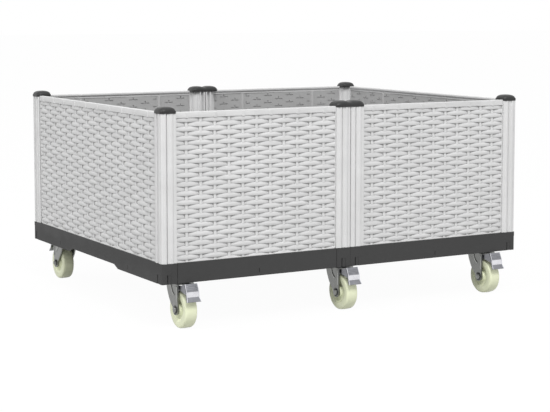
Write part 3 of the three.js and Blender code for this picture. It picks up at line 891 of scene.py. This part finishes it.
def fork():
    crown, hole, bore = bmesh.new(), bmesh.new(), bmesh.new()
    cylinder(crown, CROWN_RADIUS, CROWN_TOP - SHEET, CROWN_TOP, 48)
    cylinder(hole, PIN_HOLE, 70, 90, 24)
    cylinder(bore, BOLT_HOLE, -30, 30, 24, on_axle)
    steps = [("INTERSECT", solid_object(leg_cutter(), "outline")),
             ("UNION", solid_object(crown, "crown"))]
    for sign in (-1, 1):
        boss, dish = bmesh.new(), bmesh.new()
        inner, outer = sorted((sign * (FORK_INSIDE - DISH), sign * (FORK_INSIDE + 1)))
        cylinder(boss, BOSS_RADIUS, inner, outer, 40, on_axle)
        near, far = sign * (FORK_OUTSIDE - DISH), sign * (FORK_OUTSIDE + DISH)
        radii = (7.2, 9.6) if sign > 0 else (9.6, 7.2)
        bmesh.ops.create_cone(dish, cap_ends=True, segments=40, radius1=radii[0], radius2=radii[1],
                              depth=2 * DISH,
                              matrix=on_axle @ Matrix.Translation((0, 0, (near + far) / 2)))
        steps += [("UNION", solid_object(boss, "boss")), ("DIFFERENCE", solid_object(dish, "dish"))]
    steps += [("DIFFERENCE", solid_object(hole, "hole")), ("DIFFERENCE", solid_object(bore, "bore"))]
    bm = combined(solid_object(bent_strip(), "strip"), *steps)
    for sign in (-1, 1):
        joined(bm, pressed_rib(FRONT_RIB, 1.3, sign))
        joined(bm, pressed_rib(REAR_RIB, 1.9, sign))
    cylinder(bm, 2.5, -FORK_OUTSIDE - 1, FORK_OUTSIDE + 1, 20, on_pivot)
    bmesh.ops.recalc_face_normals(bm, faces=bm.faces)
    return bm


print("the fork's legs stand", 2 * FORK_INSIDE, "mm apart")

# %% [markdown]
# ### Wheel, axle bolt and pedal
# The wheel is turned from one profile: a faintly crowned tread, a stepped ring, a dished web and a
# hub. The bolt is a hexagon head, two washers, a nut and the shank's end. The pedal is a strip that
# bends twice, with a rolled bead along each side and a cheek that carries it on its pin. Its upper
# part has pressed grip bars, its middle is plain, and its foot is a wider lip. The middle's front and
# the beads are near-white zinc as a painted highlight, and the rest is a darker zinc, as painted
# shade.

# %% Wheel
def wheel():
    bm = bmesh.new()
    half = [(4.4, 12.5), (8.6, 12.5), (9.6, 11.7), (10.6, 8.4), (11.8, 7.5), (16.8, 7.5), (18.2, 8.2),
            (19.8, 10.8), (21.2, 11.6), (23, 12), (30.4, 12), (32.2, 11.6), (33.5, 10.5),
            (34.1, 9), (34.4, 6), (AXLE_HEIGHT, 2)]
    profile = half + [(r, -x) for r, x in reversed(half)] + [half[0]]
    turned(bm, profile, 72, on_axle)
    return bm


def hexagon(bm, low, high, turn_by):
    made = cylinder(bm, 6.4, low, high, 6, on_axle @ turn(turn_by))
    beveled(bm, edges_at(made), 0.5, 2)


def axle_bolt():
    bm = bmesh.new()
    seat = FORK_OUTSIDE - DISH + 0.3
    cylinder(bm, 4, -seat - 1, seat + 5, 24, on_axle)
    cylinder(bm, 4, seat + 5, seat + 5.8, 24, on_axle, top=3.2)
    for low, high in ((-seat - 0.8, -seat), (seat, seat + 0.8)):
        cylinder(bm, 6.8, low, high, 32, on_axle)
    hexagon(bm, -seat - 3.8, -seat - 0.7, 10)
    hexagon(bm, seat + 0.7, seat + 3.9, 25)
    return bm


print("the wheel is", 2 * AXLE_HEIGHT, "mm across")

# %% Brake pedal
def sheet_strip(line, thickness, half_width, bend):
    """a strip of sheet whose outer skin follows a line of (y, z) points, its bends rounded"""
    bm = bmesh.new()
    points = [Vector(p) for p in line]
    inner = [point + Vector((-ahead.y, ahead.x)) * thickness
             for point, ahead in zip(points, directions(points))]
    face = outline_face(bm, [*points, *reversed(inner)], lambda a, b: (-half_width, a, b))
    extruded(bm, face, (2 * half_width, 0, 0))
    long_edges = [e for e in bm.edges if abs(e.verts[0].co.x - e.verts[1].co.x) > half_width]
    heights = [p.y for p in points[1:-1]] + [p.y for p in inner[1:-1]]
    beveled(bm, [e for e in long_edges if any(abs(e.verts[0].co.z - h) < 0.01 for h in heights)],
            bend, 3)
    return bm


PEDAL_LINE = [(-49.6, 86), (-56, 72.5), (-57.4, 62.5), (-62.4, 55)]
PEDAL_HALF = 13              # half the pedal's width, and half the lip's
LIP_HALF = 14.5
PEDAL_HIGHLIGHT = 1                 # material index of the painted highlight on the pedal's band and beads
CHEEK = [(-48.8, 85.2), (-35, 81.5), (-26, 80), (-21, 80), (-18.6, 78), (-18.6, 75),
         (-22, 72.4), (-38, 70.4), (-50, 68), (-55.6, 67), (-54.6, 72), (-53, 75)]


def brake_pedal():
    bm = sheet_strip(PEDAL_LINE, 2, PEDAL_HALF, 0.8)
    bm.normal_update()
    # the band across the middle's front is painted near-white, a painted highlight
    for face in bm.faces:
        if 63 < face.calc_center_median().z < 72 and face.normal.y < -0.5:
            face.material_index = PEDAL_HIGHLIGHT
    for sign in (-1, 1):
        bead = sheet_strip([(y - 0.5, z) for y, z in PEDAL_LINE], 1.4, 0.6, 0.4)
        # the beads are painted near-white too, a painted highlight along the edges
        painted(bead, PEDAL_HIGHLIGHT)
        joined(bm, bead, Matrix.Translation((sign * (PEDAL_HALF - 0.6), 0, 0)))
    for vert in bm.verts:
        flare = min(max((62 - vert.co.z) / 3, 0), 1)
        vert.co.x *= 1 + flare * (LIP_HALF / PEDAL_HALF - 1)
    (top_y, top_z), (knee_y, knee_z) = PEDAL_LINE[:2]
    slope = math.atan2(top_z - knee_z, top_y - knee_y)
    for share in (0.3, 0.52, 0.74):
        y, z = top_y + (knee_y - top_y) * share, top_z + (knee_z - top_z) * share
        bar = bmesh.new()
        box(bar, (-10.8, 10.8), (-0.7, 0.7), (-0.7, 0.7), 0.4, 2)
        joined(bm, bar, Matrix.Translation((0, y, z)) @ Matrix.Rotation(slope, 4, "X"))
    for sign in (-1, 1):
        cheek = bmesh.new()
        face = outline_face(cheek, CHEEK, lambda a, b: (sign * PEDAL_HALF, a, b))
        extruded(cheek, face, (-sign * 2, 0, 0))
        corners = [e for e in cheek.edges if abs(e.verts[0].co.x - e.verts[1].co.x) > 1]
        beveled(cheek, [e for e in corners if e.verts[0].co.y > -40], 1.6, 3)
        bmesh.ops.recalc_face_normals(cheek, faces=cheek.faces)
        joined(bm, cheek)
    # the shoe between the cheeks, which presses on the tread
    box(bm, (-11.6, 11.6), (-37, -33), (72.5, 75), 0.6, 2)
    bmesh.ops.recalc_face_normals(bm, faces=bm.faces)
    return bm


print("the pedal is", 2 * PEDAL_HALF, "mm wide, and its lip", 2 * LIP_HALF)

# %% [markdown]
# ### Plate, race and king pin
# Above the fork sit the parts that hold it: a plate with rounded corners screwed to the tray, a
# race whose two cups take the balls, painted near black as the shade under the tray, and the riveted
# king pin. They are mostly hidden, but they show from below.

# %% Plate and king pin
def mounting_plate():
    bm = bmesh.new()
    box(bm, (-30, 30), (-29, 29), (PLATE_BOTTOM, PLATE_BOTTOM + 3))
    beveled(bm, [e for e in bm.edges if abs(e.verts[0].co.z - e.verts[1].co.z) > 2], 4, 4)
    for x in (-24, 24):
        for y in (-23, 23):
            # a round screw head with a cross on it
            verts = cylinder(bm, 4.6, PLATE_BOTTOM - 2.2, PLATE_BOTTOM + 0.2, 20,
                             Matrix.Translation((x, y, 0)))
            low = [e for e in edges_at(verts) if all(v.co.z < PLATE_BOTTOM - 2 for v in e.verts)]
            beveled(bm, low, 1.5, 3)
            for arm_x, arm_y in ((2.6, 0.5), (0.5, 2.6)):
                box(bm, (x - arm_x, x + arm_x), (y - arm_y, y + arm_y),
                    (PLATE_BOTTOM - 2.5, PLATE_BOTTOM - 1))
    return bm


def ball_race():
    bm = bmesh.new()
    turned(bm, [(6.4, 84.3), (19, 84.3), (21.5, 85), (22.6, 86.4), (23, 88.4), (21.4, 88.8),
                (21.4, 90), (23, 90.4), (22.6, 93), (20.5, 95), (20, 95.6), (6.4, 95.6),
                (6.4, 84.3)], 48)
    return bm


def king_pin():
    bm = bmesh.new()
    turned(bm, [(0, 76.7), (4, 76.8), (7, 77.6), (8.6, 79.2), (9, 81.2), (6, 81.2), (6, 98.2),
                (0, 98.2)], 32)
    return bm


print("the plate's underside is", PLATE_BOTTOM, "mm above the floor")

# %% Setting the castors in their places
for name, place in castor_places.items():
    swivel = f"{name}_swivel"
    for suffix, build, materials, body, node in (
        ("plate_and_screws", mounting_plate, (zinc,), "planter", f"{name}_castor_plate"),
        # the race is painted near black, as painted shade
        ("race", ball_race, (race_shade_steel,), "planter", None),
        ("rivet", king_pin, (zinc,), "planter", f"{name}_king_pin"),
        ("pressed_fork", fork, (zinc, rib_highlight_zinc), swivel, f"{name}_fork"),
        ("bolt_and_nut", axle_bolt, (zinc,), swivel, f"{name}_axle_bolt"),
    ):
        finished(f"{name}_{suffix}", build(), materials, body, node, place)
    finished(f"{name}_nylon_wheel", wheel(), (cream_nylon,),
             f"{name}_rolling_wheel", f"{name}_wheel", place, sharp=40)
    finished(f"{name}_stamped_pedal", brake_pedal(), (pedal_zinc, pedal_highlight_zinc),
             f"{name}_brake", f"{name}_brake_pedal", place)
print("made", len(castor_places), "castors")

# %% [markdown]
# ## Floor, light and camera
# The photo has a pure white ground. The floor is a matt sheet that mostly glows white to the camera
# and to mirrors, so that only a faint shadow stays. The sky is white to them too, and sends the
# object less light than that. Two large soft lamps, from above the front and from the left, give
# the front its brighter tone.

# %% Floor
GLOW_SHARE = 0.92            # the rest is matt paper, which keeps the shadow
GLOW = 1.05
FLOOR_SIZE = 30              # half its side, in metres


def seen_directly(tree):
    """1 for what the camera sees, itself or by way of metal or glass"""
    rays = add_node(tree, "ShaderNodeLightPath")
    mirror = add_node(tree, "ShaderNodeMath",
                      {0: rays.outputs["Is Glossy Ray"], 1: rays.outputs["Is Transmission Ray"]},
                      operation="MAXIMUM")
    return add_node(tree, "ShaderNodeMath",
                    {0: rays.outputs["Is Camera Ray"], 1: mirror.outputs[0]},
                    operation="MAXIMUM").outputs[0]


def studio_floor():
    material = bpy.data.materials.new("matt_white_studio_floor")
    material.use_nodes = True
    tree = material.node_tree
    tree.nodes.clear()
    share = add_node(tree, "ShaderNodeMath", {0: seen_directly(tree), 1: GLOW_SHARE},
                     operation="MULTIPLY")
    paper = add_node(tree, "ShaderNodeBsdfDiffuse", {"Color": linear("#B4B4B4")})
    glow = add_node(tree, "ShaderNodeEmission", {"Color": (1, 1, 1, 1), "Strength": GLOW})
    mix = add_node(tree, "ShaderNodeMixShader",
                   {0: share.outputs[0], 1: paper.outputs[0], 2: glow.outputs[0]})
    add_node(tree, "ShaderNodeOutputMaterial", {"Surface": mix.outputs[0]})
    return material


bm = bmesh.new()
bmesh.ops.create_grid(bm, x_segments=1, y_segments=1, size=FLOOR_SIZE)
floor = new_object("floor", bm, [studio_floor()])
print("the floor is", 2 * FLOOR_SIZE, "m wide")

# %% Sky and lamps
SKY_LIGHT = 0.66             # what the sky sends the object, where 1 is white

world = bpy.data.worlds.new("white studio")
bpy.context.scene.world = world
world.use_nodes = True
tree = world.node_tree
strength = add_node(tree, "ShaderNodeMapRange",
                    {"Value": seen_directly(tree), "To Min": SKY_LIGHT, "To Max": 1.0})
tree.links.new(strength.outputs[0], tree.nodes["Background"].inputs["Strength"])
tree.nodes["Background"].inputs["Color"].default_value = (1, 1, 1, 1)


def soft_lamp(name, at, aim, size, watts):
    data = bpy.data.lights.new(name, "AREA")
    data.shape = "DISK"
    data.size = size
    data.energy = watts
    lamp = bpy.data.objects.new(name, data)
    lamp.location = at
    lamp.rotation_euler = (Vector(aim) - Vector(at)).to_track_quat("-Z", "Y").to_euler()
    bpy.context.scene.collection.objects.link(lamp)


soft_lamp("front lamp", (-1.0, -3.2, 3.8), (0, 0, 0.2), 2.0, 112)
soft_lamp("left lamp", (-3.7, -1.1, 3.2), (0, 0, 0.2), 2.0, 54)

# %% [markdown]
# The camera stands where the photo's vanishing lines put it: 2.7 m in front, 1.5 m to the left and
# 0.58 m up, with a long lens. A small shift keeps the posts nearly upright, as in the photo.

# %% Camera
data = bpy.data.cameras.new("camera")
data.sensor_width = 36
data.lens = 97.1
data.shift_x = 0.002
data.shift_y = -0.1
camera = bpy.data.objects.new("camera", data)
camera.location = (-1.530, -2.686, 0.578)
camera.rotation_euler = (math.radians(90 - 5.445), 0, -math.radians(29.877))
bpy.context.scene.collection.objects.link(camera)
bpy.context.scene.camera = camera
bpy.context.scene.view_settings.view_transform = "Standard"
print("camera", round(camera.location.length, 2), "m from the planter's middle")
